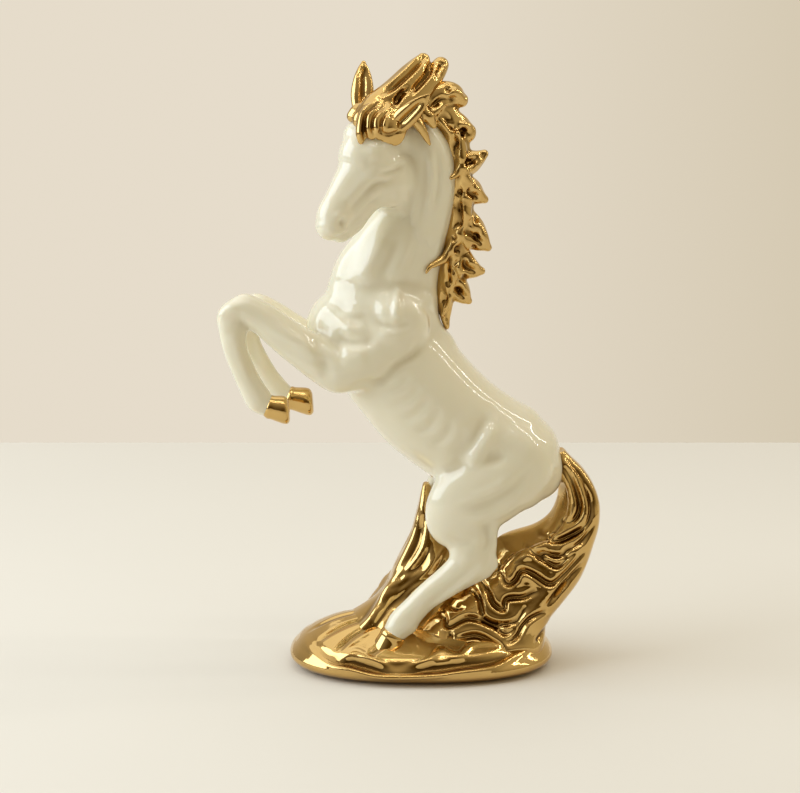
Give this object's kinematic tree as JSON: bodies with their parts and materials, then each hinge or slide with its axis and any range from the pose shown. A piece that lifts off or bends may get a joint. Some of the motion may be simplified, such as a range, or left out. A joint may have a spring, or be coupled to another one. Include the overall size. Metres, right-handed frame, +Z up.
{
  "type": "rearing horse figurine",
  "caption": "Rearing horse ornament in white glazed porcelain with gold mane, tail and hooves, carried by its hind legs, tail and a gold plume on an oval base.",
  "frame": {"origin": "on the surface the figurine stands on, under the middle of its overall box", "axes": "+Z up, -X the way the horse faces, -Y the horse's left side, towards the viewer"},
  "size_m": [0.2355, 0.114, 0.3799],
  "materials": {
    "white_glaze": "clear gloss over warm white porcelain",
    "gold_lustre": "mirror gold lustre fired over the glaze",
    "bisque": "matt unglazed",
    "felt": "matt felt"
  },
  "bodies": {
    "root": {"torso": "white_glaze", "neck": "white_glaze", "head": "white_glaze", "left_foreleg": "white_glaze", "right_foreleg": "white_glaze", "left_hind_leg": "white_glaze", "right_hind_leg": "white_glaze", "left_fore_hoof": "gold_lustre", "right_fore_hoof": "gold_lustre", "left_hind_hoof": "gold_lustre", "right_hind_hoof": "gold_lustre", "left_ear": "gold_lustre", "right_ear": "gold_lustre", "forelock": "gold_lustre", "mane": "gold_lustre", "plume": "gold_lustre", "tail": "gold_lustre", "base": "gold_lustre", "base_plate": "bisque", "felt_pad_front_left": "felt", "felt_pad_front_right": "felt", "felt_pad_rear_left": "felt", "felt_pad_rear_right": "felt"}
  },
  "joints": []
}
